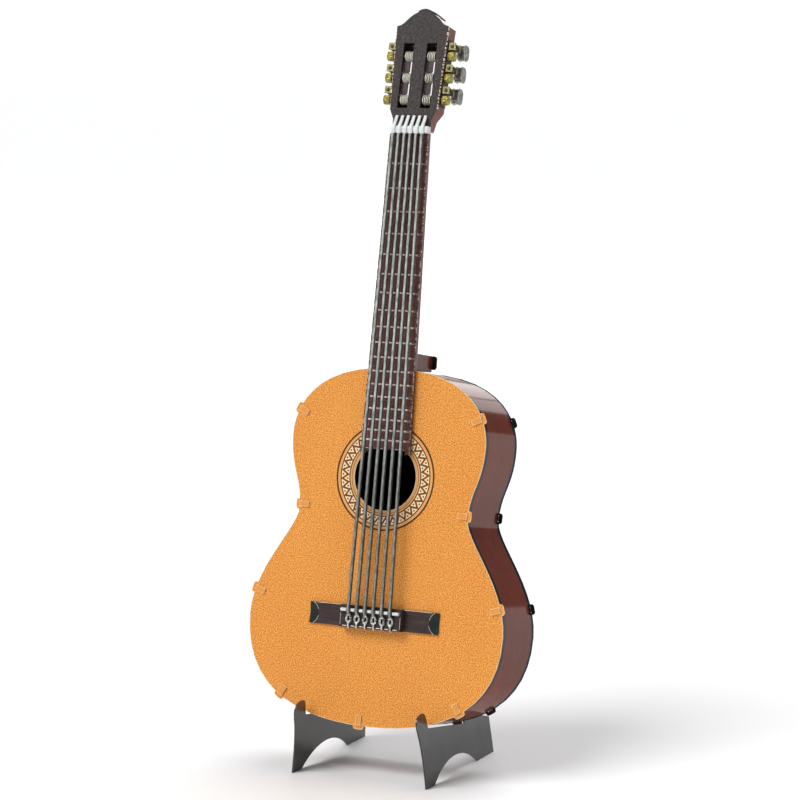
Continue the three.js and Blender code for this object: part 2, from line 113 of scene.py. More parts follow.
# ---- Frames: the leaning guitar (across, back, up) and its tilted head ----
lift = joints["guitar_lift"]["axis"]
lean = math.atan2(lift[1], lift[2])
worm_axis = joints["button_turn_right_1"]["axis"]
head_tilt = math.atan2(-worm_axis[2], worm_axis[1]) - lean
bridge_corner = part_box("bridge_base")[0] / MM
guitar_foot = Vector((
    0,
    bridge_corner.y - BRIDGE["low"] * math.sin(lean) + BRIDGE["rise"] * math.cos(lean),
    bridge_corner.z - BRIDGE["low"] * math.cos(lean) - GAP * math.sin(lean),
)) * MM
GUITAR = Matrix.Translation(guitar_foot) @ Matrix.Rotation(-lean, 4, "X") @ Matrix.Scale(MM, 4)
HEAD = GUITAR @ Matrix.Translation(HEAD_BASE) @ Matrix.Rotation(-head_tilt, 4, "X")


def board_half(height):
    """Half the fretboard's width at a height up the guitar."""
    widening = 2 * (BOARD_HALF["octave"] - BOARD_HALF["nut"]) / SCALE_LENGTH
    return BOARD_HALF["nut"] + (NUT_LINE - height) * widening


def fret_at(number):
    """Height of a fret up the guitar."""
    return NUT_LINE - SCALE_LENGTH * (1 - 2 ** (-number / 12))


def head_half(height):
    """Half the head's width at a height in its own frame."""
    return HEAD_LOW_HALF + (height - HEAD_LOW) * HEAD_TAPER


def string_across(index, height):
    """How far from the middle a string runs at a height up the guitar."""
    step = index - (STRINGS - 1) / 2
    share = (height - SADDLE["high"]) / (NUT["low"] - SADDLE["high"])
    return step * (PITCH_AT_SADDLE + share * (PITCH_AT_NUT - PITCH_AT_SADDLE))


# ---- Materials ----
class Look:
    """A procedural material under construction. Places are millimetres in the leaning guitar's frame."""

    def __init__(self, name, metallic=0.0, coat=0.0, coat_roughness=0.1, specular=0.5):
        self.material = bpy.data.materials.new(name)
        self.material.use_nodes = True
        self.tree = self.material.node_tree
        self.shader = self.tree.nodes["Principled BSDF"]
        settings = {
            "Metallic": metallic,
            "Coat Weight": coat,
            "Coat Roughness": coat_roughness,
            "Specular IOR Level": specular,
        }
        for socket, value in settings.items():
            self.shader.inputs[socket].default_value = value
        inside = self.add("TexCoord").outputs["Object"]
        moved = self.add("VectorMath", operation="SUBTRACT")
        self.feed(moved.inputs[0], inside)
        self.feed(moved.inputs[1], guitar_foot)
        turned = self.add("VectorRotate", rotation_type="X_AXIS")
        self.feed(turned.inputs["Vector"], moved.outputs[0])
        self.feed(turned.inputs["Angle"], lean)
        sized = self.add("VectorMath", operation="SCALE")
        self.feed(sized.inputs[0], turned.outputs[0])
        self.feed(sized.inputs["Scale"], 1 / MM)
        self.place = sized.outputs[0]
        split = self.add("SeparateXYZ")
        self.feed(split.inputs[0], self.place)
        self.across, self.back, self.up = split.outputs

    def add(self, kind, **settings):
        """A new shader node with the given properties."""
        node = self.tree.nodes.new("ShaderNode" + kind)
        for key, value in settings.items():
            setattr(node, key, value)
        return node

    def feed(self, socket, value):
        """Links an output to a socket, or sets the socket to a constant."""
        if isinstance(value, bpy.types.NodeSocket):
            self.tree.links.new(value, socket)
        else:
            socket.default_value = value

    def math(self, operation, *values):
        """Output of a math node over outputs or numbers."""
        node = self.add("Math", operation=operation)
        for socket, value in zip(node.inputs, values):
            self.feed(socket, value)
        return node.outputs[0]

    def length(self, first, second):
        """Length of a vector from its two components."""
        squares = [self.math("MULTIPLY", part, part) for part in (first, second)]
        return self.math("SQRT", self.math("ADD", *squares))

    def within(self, value, low, high, soft=0.02):
        """1 where value lies between low and high, 0 outside, with soft edges."""
        rise = self.spread(value, low - soft, low + soft)
        fall = self.spread(value, high - soft, high + soft, 1, 0)
        return self.math("MULTIPLY", rise, fall)

    def spread(self, value, low, high, to_low=0.0, to_high=1.0):
        """Value carried from one range to another, and held at the ends."""
        node = self.add("MapRange")
        for socket, number in zip(node.inputs, (value, low, high, to_low, to_high)):
            self.feed(socket, number)
        return node.outputs[0]

    def mix(self, amount, first, second):
        """First colour where amount is 0, second colour where it is 1."""
        node = self.add("Mix", data_type="RGBA")
        self.feed(node.inputs["Factor"], amount)
        for socket, colour in ((node.inputs[6], first), (node.inputs[7], second)):
            self.feed(socket, colour if isinstance(colour, bpy.types.NodeSocket) else (*colour, 1))
        return node.outputs[2]

    def noise(self, stretch, detail=2.0, roughness=0.5):
        """Noise over the guitar's frame; stretch is the number of features a millimetre each way."""
        shaped = self.add("VectorMath", operation="MULTIPLY")
        self.feed(shaped.inputs[0], self.place)
        self.feed(shaped.inputs[1], stretch)
        node = self.add("TexNoise")
        self.feed(node.inputs["Vector"], shaped.outputs[0])
        self.feed(node.inputs["Scale"], 1.0)
        self.feed(node.inputs["Detail"], detail)
        self.feed(node.inputs["Roughness"], roughness)
        return node.outputs[0]

    def roughen(self, value, low, high):
        """Roughness that wanders between two values."""
        self.feed(self.shader.inputs["Roughness"], self.spread(value, 0.3, 0.7, low, high))

    def bump(self, height, distance, strength):
        """Fine relief of the given depth in millimetres."""
        node = self.add("Bump")
        self.feed(node.inputs["Height"], height)
        self.feed(node.inputs["Distance"], distance * MM)
        self.feed(node.inputs["Strength"], strength)
        self.feed(self.shader.inputs["Normal"], node.outputs[0])

    def finish(self, colour):
        """Sets the base colour and gives the material."""
        self.feed(self.shader.inputs["Base Color"], colour)
        return self.material


def look_stand():
    """Dark glossy sheet with a faint mottle, and painted light that makes the left foot a little lighter."""
    look = Look("stand_dark_metal", coat=0.8, coat_roughness=0.09, specular=0.2)
    mottle = look.noise((0.2, 0.2, 0.2), detail=4)
    grain = look.noise((5, 5, 5), detail=3, roughness=0.7)
    shade = look.mix(look.spread(mottle, 0.35, 0.65), (0.013, 0.012, 0.012), (0.026, 0.024, 0.024))
    shade = look.mix(look.spread(grain, 0.56, 0.74, 0, 0.5), shade, (0.075, 0.07, 0.068))
    # Painted light: the left foot is made lighter, standing in for the light that falls on it.
    shade = look.mix(look.spread(look.across, 6, -8, 0, 0.6), shade, (0.052, 0.056, 0.053))
    look.roughen(grain, 0.3, 0.5)
    look.bump(grain, 0.012, 0.5)
    return look.finish(shade)


def rosette_colour(look, board):
    """The printed rings round the sound hole, over the board's own colour."""
    above = look.math("SUBTRACT", look.up, HOLE_AT)
    radius = look.length(look.across, above)
    beige, brown, dark = (0.66, 0.36, 0.13), (0.20, 0.06, 0.015), (0.05, 0.012, 0.004)
    cream, peach, line = (0.93, 0.74, 0.42), (0.80, 0.38, 0.12), (0.07, 0.022, 0.008)
    bands = (
        (HOLE_RADIUS - 0.2, 8.4, beige), (8.4, 8.55, brown), (8.55, 8.9, peach), (8.9, 9.17, dark),
        (9.17, 11.15, cream), (11.15, 11.42, dark), (11.42, 12.02, peach), (12.02, 12.44, line),
    )
    peaks, middle = 34, 10.2
    colour = board
    for low, high, tint in bands:
        colour = look.mix(look.within(radius, low, high), colour, tint)
    turns = look.math("MULTIPLY", look.math("ARCTAN2", look.across, above), peaks / (2 * math.pi))
    phase = look.math("FRACT", turns)
    ramp = look.math("ABSOLUTE", look.math("SUBTRACT", phase, 0.5))
    crest = look.spread(ramp, 0, 0.5, 9.42, 10.9)
    near = look.math("ABSOLUTE", look.math("SUBTRACT", radius, crest))
    zigzag = look.math("MULTIPLY", look.spread(near, 0.36, 0.46, 1, 0), look.within(radius, 9.15, 11.17))
    colour = look.mix(zigzag, colour, (0.20, 0.04, 0.010))
    turned = look.math("SUBTRACT", 0.5, ramp)
    for offset, at in ((ramp, 10.72), (turned, 9.6)):
        sideways = look.math("MULTIPLY", offset, 2 * math.pi * middle / peaks)
        reach = look.length(sideways, look.math("SUBTRACT", radius, at))
        colour = look.mix(look.spread(reach, 0.16, 0.24, 1, 0), colour, dark)
    return colour


def look_soundboard():
    """Printed orange top with its rosette, cream at the cut edge and dark on the inside."""
    look = Look("soundboard_print", coat=0.25, coat_roughness=0.3, specular=0.25)
    speckle = look.noise((3.9, 3.9, 3.4), detail=2, roughness=0.75)
    grain = look.noise((2.6, 1, 0.16), detail=4, roughness=0.6)
    cloud = look.noise((0.05, 0.05, 0.03), detail=2)
    colour = look.mix(look.spread(cloud, 0.35, 0.65), (0.83, 0.288, 0.034), (0.88, 0.335, 0.046))
    colour = look.mix(look.spread(grain, 0.35, 0.7, 0, 0.5), colour, (0.72, 0.235, 0.022))
    colour = look.mix(look.spread(speckle, 0.51, 0.6, 0, 0.85), colour, (0.48, 0.12, 0.006))
    colour = look.mix(look.spread(speckle, 0.49, 0.4, 0, 0.8), colour, (1.0, 0.58, 0.17))
    colour = rosette_colour(look, colour)
    edge = look.within(look.back, 0.06, SHEET - 0.05, 0.01)
    colour = look.mix(edge, colour, (0.95, 0.80, 0.55))
    inner = look.spread(look.back, SHEET - 0.02, SHEET - 0.01)
    colour = look.mix(inner, colour, (0.02, 0.022, 0.026))
    look.roughen(speckle, 0.42, 0.6)
    look.bump(look.math("ADD", speckle, grain), 0.012, 0.6)
    return look.finish(colour)


def red_brown(look):
    """Polished red-brown print with a faint wood figure along the guitar."""
    figure = look.noise((1.6, 1.6, 0.12), detail=5, roughness=0.6)
    cloud = look.noise((0.08, 0.08, 0.08), detail=3)
    grain = look.noise((8, 8, 5), detail=2)
    colour = look.mix(look.spread(cloud, 0.35, 0.65), (0.15, 0.026, 0.012), (0.19, 0.036, 0.017))
    colour = look.mix(look.spread(figure, 0.45, 0.7, 0, 0.5), colour, (0.075, 0.013, 0.007))
    colour = look.mix(look.spread(grain, 0.6, 0.75, 0, 0.3), colour, (0.23, 0.07, 0.04))
    look.roughen(figure, 0.3, 0.45)
    look.bump(grain, 0.005, 0.4)
    return colour


def look_rim():
    """Red-brown sides with dark bindings along both plates, and tabs printed like the top."""
    look = Look("rim_red_brown", coat=0.5, coat_roughness=0.1, specular=0.0)
    colour = red_brown(look)
    bindings = ((-1, 1.95), (BODY_DEPTH - 1.35, BODY_DEPTH + 1))
    for low, high in bindings:
        colour = look.mix(look.within(look.back, low, high, 0.06), colour, (0.012, 0.016, 0.022))
    colour = look.mix(look.spread(look.back, 0.02, -0.02), colour, (0.95, 0.72, 0.40))
    colour = look.mix(look.spread(look.back, -0.32, -0.35), colour, (0.82, 0.33, 0.07))
    return look.finish(colour)


def look_back():
    """Red-brown back, dark on the inside."""
    look = Look("back_red_brown", coat=0.6, coat_roughness=0.07, specular=0.0)
    colour = red_brown(look)
    inner = look.spread(look.back, BODY_DEPTH - 0.03, BODY_DEPTH - 0.05)
    colour = look.mix(inner, colour, (0.010, 0.013, 0.018))
    return look.finish(colour)


def look_red_brown():
    """Red-brown neck and head shell, with painted shade that darkens the walls inside the head's slots."""
    look = Look("neck_red_brown", coat=0.4, coat_roughness=0.12, specular=0.1)
    colour = red_brown(look)
    # Painted shade: near-black over the slot walls, where shade falls inside the head's slots.
    shaded_slot_band = look.within(look.math("ABSOLUTE", look.across), 1.2, 4.7, 0.05)
    inside = look.math("MULTIPLY", shaded_slot_band, look.spread(look.up, HEAD_BASE[2] + 4.2, HEAD_BASE[2] + 4.4))
    return look.finish(look.mix(inside, colour, (0.024, 0.009, 0.010)))


def look_fretboard():
    """Dark red-brown sheet with a pale fleck."""
    look = Look("fretboard_brown", coat=0.3, coat_roughness=0.3, specular=0.4)
    grain = look.noise((3.2, 3.2, 0.35), detail=4, roughness=0.65)
    speckle = look.noise((5, 5, 5), detail=2)
    colour = look.mix(look.spread(grain, 0.38, 0.62), (0.050, 0.013, 0.010), (0.15, 0.042, 0.030))
    colour = look.mix(look.spread(speckle, 0.54, 0.64, 0, 0.6), colour, (0.34, 0.21, 0.17))
    look.roughen(grain, 0.35, 0.55)
    look.bump(grain, 0.02, 0.6)
    return look.finish(colour)


def look_dark_brown():
    """Dark bridge sheet, with painted shade that makes it almost black where its ends fold down."""
    look = Look("bridge_brown", coat=0.25, coat_roughness=0.3, specular=0.25)
    grain = look.noise((0.3, 2.4, 3.0), detail=4, roughness=0.6)
    speckle = look.noise((6, 6, 6), detail=2)
    colour = look.mix(look.spread(grain, 0.38, 0.62), (0.026, 0.015, 0.014), (0.056, 0.033, 0.030))
    colour = look.mix(look.spread(speckle, 0.62, 0.76, 0, 0.5), colour, (0.13, 0.09, 0.085))
    # Painted shade: the folded-down ends are made almost black, standing in for the shade on their slope.
    end = look.math("ABSOLUTE", look.across)
    outward = look.math("SUBTRACT", end, BRIDGE["half"] + CREASE_OUT)
    reach = look.length(outward, look.math("SUBTRACT", look.up, BRIDGE_MIDDLE))
    folded = look.spread(reach, CREASE_RADIUS - 0.05, CREASE_RADIUS + 0.05, 1, 0)
    colour = look.mix(folded, colour, (0.004, 0.010, 0.009))
    look.roughen(grain, 0.4, 0.6)
    look.bump(look.math("ADD", grain, speckle), 0.015, 0.6)
    return look.finish(colour)


def look_head_face():
    """Dark grey-brown face with a strong fleck."""
    look = Look("head_face_grey", coat=0.1, coat_roughness=0.4, specular=0.2)
    grain = look.noise((3.0, 3.0, 0.5), detail=4, roughness=0.7)
    speckle = look.noise((4.5, 4.5, 4.5), detail=3, roughness=0.7)
    colour = look.mix(look.spread(grain, 0.38, 0.64), (0.031, 0.024, 0.022), (0.056, 0.047, 0.043))
    colour = look.mix(look.spread(speckle, 0.51, 0.64, 0, 0.75), colour, (0.13, 0.115, 0.11))
    colour = look.mix(look.spread(speckle, 0.48, 0.38, 0, 0.8), colour, (0.008, 0.005, 0.006))
    look.roughen(speckle, 0.45, 0.7)
    look.bump(look.math("ADD", grain, speckle), 0.02, 0.7)
    return look.finish(colour)


def look_white():
    """Bone-white print of the nut and the saddle."""
    look = Look("bone_white_print", coat=0.2, coat_roughness=0.25, specular=0.5)
    grain = look.noise((4, 4, 4), detail=3)
    colour = look.mix(look.spread(grain, 0.4, 0.7), (0.86, 0.88, 0.87), (0.62, 0.66, 0.66))
    look.roughen(grain, 0.3, 0.5)
    look.bump(grain, 0.02, 0.5)
    return look.finish(colour)


def look_cream():
    """Cream rollers with painted shade as a dark line in each groove."""
    look = Look("roller_cream", coat=0.15, coat_roughness=0.3, specular=0.5)
    lines = look.noise((7, 1.2, 1.2), detail=3)
    grain = look.noise((4, 4, 4), detail=2)
    outward = look.math("SUBTRACT", look.math("ABSOLUTE", look.across), ROLLER_START)
    phase = look.math("FRACT", look.math("DIVIDE", outward, GROOVE_PITCH))
    colour = look.mix(look.spread(lines, 0.4, 0.6), (0.70, 0.66, 0.48), (0.96, 0.95, 0.84))
    colour = look.mix(look.spread(grain, 0.58, 0.74, 0, 0.5), colour, (0.22, 0.18, 0.11))
    # Painted shade: a dark line down each groove, where shade falls.
    colour = look.mix(look.within(phase, 0.6, 1.05, 0.08), colour, (0.035, 0.024, 0.016))
    look.roughen(grain, 0.35, 0.55)
    look.bump(lines, 0.02, 0.6)
    return look.finish(colour)


def metal_look(name, dark, light, roughness, metallic, streak):
    """Worn metal: streaks along one way, fine scratches and a mottled tone."""
    look = Look(name, metallic=metallic, specular=0.5)
    streaks = look.noise(streak, detail=4, roughness=0.6)
    mottle = look.noise((1.1, 1.1, 1.1), detail=3)
    colour = look.mix(look.spread(streaks, 0.35, 0.65), dark, light)
    colour = look.mix(look.spread(mottle, 0.55, 0.72, 0, 0.35), colour, tuple(0.45 * part for part in dark))
    look.roughen(mottle, roughness - 0.06, roughness + 0.08)
    look.bump(streaks, 0.01, 0.6)
    return look.finish(colour)


def look_fold_edge():
    """Cut edges of the rims: cream where a tab folds over the soundboard, dark everywhere else."""
    look = Look("fold_edge", specular=0.3)
    grain = look.noise((3, 3, 3), detail=3)
    pale = look.mix(look.spread(grain, 0.35, 0.65), (0.66, 0.44, 0.20), (0.95, 0.78, 0.48))
    dark = look.mix(look.spread(grain, 0.35, 0.65), (0.018, 0.022, 0.028), (0.045, 0.05, 0.058))
    look.roughen(grain, 0.4, 0.6)
    return look.finish(look.mix(look.spread(look.back, 0.04, 0.0), dark, pale))


def look_black():
    """Blackened sheet of the heel cap, and of the black sheets that paint shade at the slots' backs."""
    look = Look("blackened_sheet", coat=0.3, coat_roughness=0.3, specular=0.3)
    grain = look.noise((4, 4, 4), detail=3, roughness=0.7)
    colour = look.mix(look.spread(grain, 0.4, 0.7), (0.007, 0.006, 0.007), (0.03, 0.024, 0.026))
    look.roughen(grain, 0.4, 0.6)
    look.bump(grain, 0.02, 0.6)
    return look.finish(colour)


def look_tuner_plate():
    """Olive sheet along the head's side, turning to worn gold on the ears that stand out from it."""
    look = Look("tuner_plate", metallic=0.55, specular=0.4)
    grain = look.noise((2.4, 2.4, 2.4), detail=3, roughness=0.7)
    outward = look.math("ABSOLUTE", look.across)
    taper = look.math("MULTIPLY", look.math("SUBTRACT", look.up, HEAD_BASE[2] + HEAD_LOW), HEAD_TAPER)
    beyond = look.math("SUBTRACT", look.math("SUBTRACT", outward, HEAD_LOW_HALF), taper)
    sheet = look.mix(look.spread(grain, 0.35, 0.65), (0.012, 0.009, 0.004), (0.05, 0.038, 0.015))
    ear = look.mix(look.spread(grain, 0.35, 0.68), (0.40, 0.35, 0.14), (0.20, 0.17, 0.05))
    look.roughen(grain, 0.36, 0.55)
    look.bump(grain, 0.02, 0.6)
    return look.finish(look.mix(look.spread(beyond, 0.42, 0.5), sheet, ear))


def look_string():
    """Stiff grey strip with fine streaks along it, lighter at the eyelet, with a painted highlight that makes it
    lighter over the neck and painted shade along both sides.
    """
    look = Look("string_steel", metallic=0.55, specular=0.4)
    streaks = look.noise((4, 4, 0.6), detail=4, roughness=0.65)
    grain = look.noise((3, 3, 3), detail=3, roughness=0.7)
    low = look.mix(look.spread(streaks, 0.38, 0.62), (0.14, 0.15, 0.135), (0.42, 0.43, 0.39))
    high = look.mix(look.spread(streaks, 0.38, 0.62), (0.26, 0.28, 0.26), (0.74, 0.77, 0.72))
    # Painted highlight: the string over the neck is a lighter copy of the one over the body, standing in for the
    # light it reflects there.
    colour = look.mix(look.spread(look.up, 55, 75), low, high)
    pitch = look.spread(look.up, SADDLE["high"], NUT["low"], PITCH_AT_SADDLE, PITCH_AT_NUT)
    phase = look.math("FRACT", look.math("ADD", look.math("DIVIDE", look.across, pitch), STRINGS / 2))
    aside = look.math("MULTIPLY", look.math("SUBTRACT", phase, 0.5), pitch)
    # Painted shade: dark along both sides of each string, standing in for its shadow.
    flank_shade = look.spread(look.math("ABSOLUTE", look.math("ADD", aside, 0.05)), 0.2, 0.36, 0, 0.85)
    colour = look.mix(flank_shade, colour, (0.035, 0.036, 0.034))
    tail = look.math("MULTIPLY", look.spread(look.up, 25.6, 25.2), look.spread(grain, 0.44, 0.56))
    colour = look.mix(tail, colour, (0.80, 0.82, 0.79))
    look.roughen(grain, 0.34, 0.5)
    look.bump(grain, 0.015, 0.6)
    return look.finish(colour)


def look_board_edge():
    """Bare cut edge that shows in dashes along the dark fretboard."""
    look = Look("board_edge", specular=0.3)
    dashes = look.noise((0.8, 0.8, 1.3), detail=3, roughness=0.7)
    grain = look.noise((5, 5, 5), detail=3)
    colour = look.mix(look.spread(dashes, 0.5, 0.56), (0.030, 0.014, 0.012), (0.72, 0.64, 0.58))
    look.roughen(grain, 0.4, 0.6)
    look.bump(grain, 0.02, 0.6)
    return look.finish(colour)


looks = {
    "stand": look_stand(),
    "soundboard": look_soundboard(),
    "rim": look_rim(),
    "back": look_back(),
    "red_brown": look_red_brown(),
    "fretboard": look_fretboard(),
    "dark_brown": look_dark_brown(),
    "head_face": look_head_face(),
    "white": look_white(),
    "cream": look_cream(),
    "steel": look_string(),
    "board_edge": look_board_edge(),
    "button": metal_look("button_steel", (0.1, 0.1, 0.085), (0.46, 0.46, 0.4), 0.42, 0.5, (1.5, 1.5, 1.2)),
    "button_edge": metal_look("button_edge", (0.30, 0.30, 0.27), (0.75, 0.75, 0.70), 0.42, 0.4, (2, 2, 2)),
    "gold": metal_look("tuner_gold", (0.10, 0.08, 0.015), (0.58, 0.50, 0.12), 0.36, 0.55, (2.4, 2, 2)),
    "shaft": metal_look("shaft_dark", (0.05, 0.046, 0.05), (0.12, 0.115, 0.125), 0.35, 0.5, (4, 1, 4)),
    "cream_edge": metal_look("bare_edge_cream", (0.85, 0.5, 0.2), (1.0, 0.82, 0.52), 0.5, 0.0, (2, 2, 2)),
    "fold_edge": look_fold_edge(),
    "black": look_black(),
    "panel": metal_look("panel_brown", (0.036, 0.018, 0.015), (0.085, 0.05, 0.042), 0.5, 0.1, (2, 2, 2)),
    "wear": metal_look("worn_edge", (0.55, 0.36, 0.28), (0.95, 0.86, 0.78), 0.45, 0.1, (3, 3, 3)),
    "tuner_plate": look_tuner_plate(),
    "plate_edge": metal_look("plate_edge", (0.10, 0.085, 0.035), (0.30, 0.26, 0.12), 0.45, 0.5, (3, 3, 3)),
    "fret": metal_look("fret_bare", (0.62, 0.53, 0.48), (1.0, 0.93, 0.88), 0.42, 0.15, (2, 2, 2)),
    "bright": metal_look("bare_edge", (0.55, 0.53, 0.48), (0.80, 0.78, 0.72), 0.4, 0.5, (3, 3, 3)),
}


# ---- Meshes: every shape is one or more lofts through rings of points ----
def loft(rings, closed=False):
    """Skin over rings of points, capped at both ends unless the rings close on themselves."""
    count = len(rings[0])
    points = [Vector(point) for ring in rings for point in ring]
    faces = []
    steps = len(rings) if closed else len(rings) - 1
    for row in range(steps):
        here, there = row * count, (row + 1) % len(rings) * count
        for side in range(count):
            other = (side + 1) % count
            faces.append((here + side, here + other, there + other, there + side))
    if not closed:
        faces.append(tuple(reversed(range(count))))
        faces.append(tuple(range(len(points) - count, len(points))))
    return points, faces


def joined(*shapes):
    """Several shapes as one."""
    points, faces = [], []
    for some_points, some_faces in shapes:
        faces += [tuple(len(points) + corner for corner in face) for face in some_faces]
        points += some_points
    return points, faces


def block(low, high):
    """A box between two opposite corners."""
    corners = ((low[0], low[1]), (high[0], low[1]), (high[0], high[1]), (low[0], high[1]))
    return loft([[(across, back, up) for across, back in corners] for up in (low[2], high[2])])


def ellipse(centre, first, second, sides):
    """Ring of points round a centre, with the two half-axes given as vectors."""
    angles = [2 * math.pi * step / sides for step in range(sides)]
    return [Vector(centre) + math.cos(angle) * first + math.sin(angle) * second for angle in angles]


def tube(path, width, depth, sides=12, side=Vector((1, 0, 0)), closed=False):
    """A rod along a path, oval in section: half-width along side, half-depth across it."""
    points = [Vector(point) for point in path]
    widths = width if isinstance(width, (list, tuple)) else [width] * len(points)
    depths = depth if isinstance(depth, (list, tuple)) else [depth] * len(points)
    rings = []
    for step, point in enumerate(points):
        if closed:
            along = points[(step + 1) % len(points)] - points[step - 1]
        else:
            along = points[min(step + 1, len(points) - 1)] - points[max(step - 1, 0)]
        normal = along.cross(side).normalized()
        wide = normal.cross(along).normalized()
        rings.append(ellipse(point, widths[step] * wide, depths[step] * normal, sides))
    return loft(rings, closed)


def lathe(stations, centre, along, sides=32):
    """Turns stations of (distance, radius) about a line through centre."""
    first = along.orthogonal().normalized()
    second = along.cross(first).normalized()
    rings = [ellipse(centre + along * distance, radius * first, radius * second, sides)
             for distance, radius in stations]
    return loft(rings)


def dressed(mesh, name, look, body, bevel=0.0, angle=32, edge=None):
    """Finishes a mesh as a piece: outward faces, smooth curves, eased edges and body."""
    work = bmesh.new()
    work.from_mesh(mesh)
    bmesh.ops.recalc_face_normals(work, faces=work.faces)
    work.to_mesh(mesh)
    work.free()
    mesh.shade_smooth()
    mesh.set_sharp_from_angle(angle=math.radians(angle))
    mesh.materials.append(look)
    thing = bpy.data.objects.new(name, mesh)
    bpy.context.scene.collection.objects.link(thing)
    if bevel:
        eased = thing.modifiers.new("eased_edges", "BEVEL")
        eased.width = bevel * MM
        eased.segments = 2
        eased.limit_method = "ANGLE"
        eased.angle_limit = math.radians(40)
        eased.harden_normals = True
        if edge:
            mesh.materials.append(edge)
            eased.material = 1
    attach(thing, body)
    return thing


def make(name, shape, look, place=GUITAR, body="guitar", slot=None, stands_for=(), bevel=0.0, angle=32,
         edge=None):
    """A new piece from a shape in millimetres in the given frame."""
    points, faces = shape
    mesh = bpy.data.meshes.new(name)
    mesh.from_pydata([place @ point for point in points], [], faces)
    slot = slot or slot_of[stands_for[0]]
    thing = dressed(mesh, name, look, body, bevel, angle, edge)
    if stands_for:
        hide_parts(*stands_for)
    return thing


def refine(node, look, bevel=0.05, angle=32, edge=None):
    """A copy of a CAD piece with flats joined up, edges eased and curves shaded smooth, standing for it."""
    source = nodes[node].data
    mesh = bpy.data.meshes.new(node + "_skin")
    corners = [tuple(face.vertices) for face in source.polygons]
    mesh.from_pydata([vertex.co for vertex in source.vertices], [], corners)
    work = bmesh.new()
    work.from_mesh(mesh)
    bmesh.ops.remove_doubles(work, verts=work.verts, dist=WELD * MM)
    bmesh.ops.dissolve_limit(work, angle_limit=math.radians(0.5), verts=work.verts, edges=work.edges)
    work.to_mesh(mesh)
    work.free()
    thing = dressed(mesh, node + "_skin", look, body_of[node], bevel, angle, edge)
    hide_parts(node)
    return thing


# ---- Stand and body ----
def dress_cad_pieces():
    """Dresses the pieces that keep their CAD shape: look, width of the eased edges, and their look."""
    finishes = (
        ("stand_foot_left", "stand", 0.06, None), ("stand_foot_right", "stand", 0.06, None),
        ("stand_back_rest", "stand", 0.06, None), ("soundboard", "soundboard", 0.12, "cream_edge"),
        ("back_plate", "back", 0.07, None), ("rim_left", "rim", 0.12, "fold_edge"),
        ("rim_right", "rim", 0.12, "fold_edge"), ("fretboard", "fretboard", 0.05, None),
        ("neck_shell", "red_brown", 0.05, None), ("neck_heel", "red_brown", 0.07, "bright"),
        ("tie_block", "dark_brown", 0.06, None),
        ("head_face", "head_face", 0.07, None), ("head_shell", "red_brown", 0.06, None),
        ("head_cap", "head_face", 0.05, None), ("tuner_plate_left", "tuner_plate", 0.06, "plate_edge"),
        ("tuner_plate_right", "tuner_plate", 0.06, "plate_edge"),
    )
    for node, look, width, edge in finishes:
        refine(node, looks[look], width, edge=looks.get(edge))


def cut_edges(name, node_names, low, high, radius, look):
    """A fine bare bead along the sharp edges that CAD pieces have between two depths of the guitar."""
    to_guitar = GUITAR.inverted()
    beads = []
    for node in node_names:
        work = bmesh.new()
        work.from_mesh(nodes[node].data)
        bmesh.ops.remove_doubles(work, verts=work.verts, dist=WELD * MM)
        for edge in work.edges:
            first, last = (to_guitar @ vertex.co for vertex in edge.verts)
            inside = low < min(first.y, last.y) and max(first.y, last.y) < high
            if inside and len(edge.link_faces) == 2 and edge.calc_face_angle() > SHARP_TURN:
                along = last - first
                beads.append(lathe([(0, radius), (along.length, radius)], first, along.normalized(), 6))
        work.free()
    make(name, joined(*beads), look, slot="orange_top", angle=80)


# ---- Neck ----
def heel_cap():
    """Dark sheet behind the heel, with a rounded lug on each side."""
    reach = HEEL["half"] + 1.1
    corner = 0.7
    rings = []
    for depth in (HEEL["back"] + GAP, HEEL["back"] + GAP + SHEET):
        ring = []
        for across, height in ((reach - corner, HEEL["high"]), (-reach + corner, HEEL["high"]),
                               (-reach + corner, HEEL["low"] + 0.6), (reach - corner, HEEL["low"] + 0.6)):
            turn = math.atan2(height - (HEEL["low"] + HEEL["high"]) / 2 - 0.3, across)
            first = round(turn / (math.pi / 2) - 0.5) * math.pi / 2
            centre_up = height - math.copysign(corner, math.sin(turn))
            turns = [first + step * math.pi / 10 for step in range(6)]
            ring += [(across + corner * math.cos(angle), depth, centre_up + corner * math.sin(angle))
                     for angle in turns]
        rings.append(ring)
    return loft(rings)


def frets():
    """Crowned fret bars that wrap over the fretboard's edges."""
    bars = []
    for number in range(1, FRETS + 1):
        height = fret_at(number)
        half = board_half(height) + 0.02
        rings = []
        for step in range(9):
            across = -half + step * half / 4
            crown = 0.16 if abs(step - 4) < 4 else 0.06
            rings.append([(across, -BOARD_RISE - crown * math.sin(angle), height + 0.19 * math.cos(angle))
                          for angle in [math.pi * turn / 6 for turn in range(-1, 8)]])
        bars.append(loft(rings))
    return joined(*bars)


def board_edges():
    """Bare cut edges of the fretboard's tray, along both sides and round its lower end."""
    strips = []
    for side in (-1, 1):
        path = [(side * (board_half(height) + 0.01), -BOARD_RISE - 0.01, height)
                for height in (BOARD_END - 1, 85, 110, 136.5)]
        strips.append(tube(path, 0.09, 0.09, 8))
    half = board_half(BOARD_END) - 1.2
    path = [(across, -BOARD_RISE - 0.01, BOARD_END) for across in (-half, 0, half)]
    strips.append(tube(path, 0.09, 0.09, 8, side=Vector((0, 0, 1))))
    return joined(*strips)


def nut_block():
    """White nut with a notch under each string."""
    rings = []
    steps = 98
    for step in range(steps + 1):
        across = NUT["left"] + (NUT["right"] - NUT["left"]) * step / steps
        nearest = min(abs(across - string_across(index, NUT["low"])) for index in range(STRINGS))
        top = NUT["face"] - 0.28 + 0.5 * max(0.0, 1 - (nearest / 0.5) ** 2)
        low, high = NUT["low"], NUT["high"]
        rings.append([(across, -0.35, low), (across, top + 0.2, low), (across, top, low + 0.25),
                      (across, top, high - 0.35), (across, top + 0.25, high), (across, -0.35, high)])
    return loft(rings)


